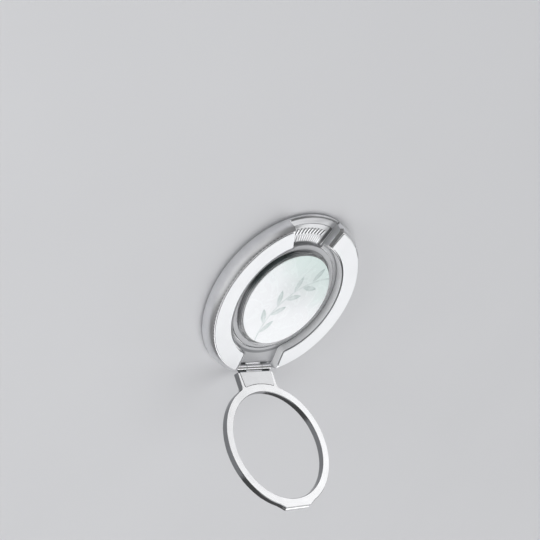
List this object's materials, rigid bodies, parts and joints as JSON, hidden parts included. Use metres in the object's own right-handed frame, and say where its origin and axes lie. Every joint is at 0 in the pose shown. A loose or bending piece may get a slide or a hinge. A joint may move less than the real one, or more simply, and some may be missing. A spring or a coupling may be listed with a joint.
{
  "type": "phone ring holder",
  "caption": "Round magnetic phone ring holder whose hinged finger ring folds flat into its face and opens as a loop or stand.",
  "frame": {"origin": "centre of the back face that lies against the phone", "axes": "+Z away from the phone, hinge of the ring towards -Y, +X along the hinge pin"},
  "size_m": [0.058, 0.0809, 0.0444],
  "materials": {
    "satin_metal": "satin",
    "grey_plastic": "matt",
    "pale_rubber": "soft matt",
    "liner_metal": "satin",
    "white_rubber": "smooth",
    "dark_core": "gloss",
    "pearl": "pearl",
    "clear_cover": "clear",
    "polished_steel": "polished",
    "yoke_steel": "plain",
    "magnet_plating": "plated",
    "ring_metal": "satin"
  },
  "bodies": {
    "holder": {"housing": "satin_metal", "back_plate": "grey_plastic", "back_pad": "pale_rubber", "recess_liner": "liner_metal", "left_soft_arc": "white_rubber", "right_soft_arc": "white_rubber", "grip_plate": "satin_metal", "disc_cup": "liner_metal", "disc_core": "dark_core", "pearl_disc": "pearl", "clear_cover": "clear_cover", "base_hinge_leaf": "polished_steel", "hinge_screws": "polished_steel", "hinge_pin": "polished_steel", "right_yoke": "yoke_steel", "left_yoke": "yoke_steel", "right_magnet_1": "magnet_plating", "right_magnet_2": "magnet_plating", "right_magnet_3": "magnet_plating", "right_magnet_4": "magnet_plating", "right_magnet_5": "magnet_plating", "right_magnet_6": "magnet_plating", "right_magnet_7": "magnet_plating", "right_magnet_8": "magnet_plating", "left_magnet_1": "magnet_plating", "left_magnet_2": "magnet_plating", "left_magnet_3": "magnet_plating", "left_magnet_4": "magnet_plating", "left_magnet_5": "magnet_plating", "left_magnet_6": "magnet_plating", "left_magnet_7": "magnet_plating", "left_magnet_8": "magnet_plating"},
    "ring": {"finger_ring": "ring_metal", "ring_hinge_leaf": "polished_steel"}
  },
  "joints": [
    {"name": "ring_fold", "type": "hinge", "parent": "holder", "child": "ring", "pos_m": [0, -0.02652, 0.0037], "axis": [1, 0, 0], "range_deg": [-120.46, 44.54]}
  ]
}
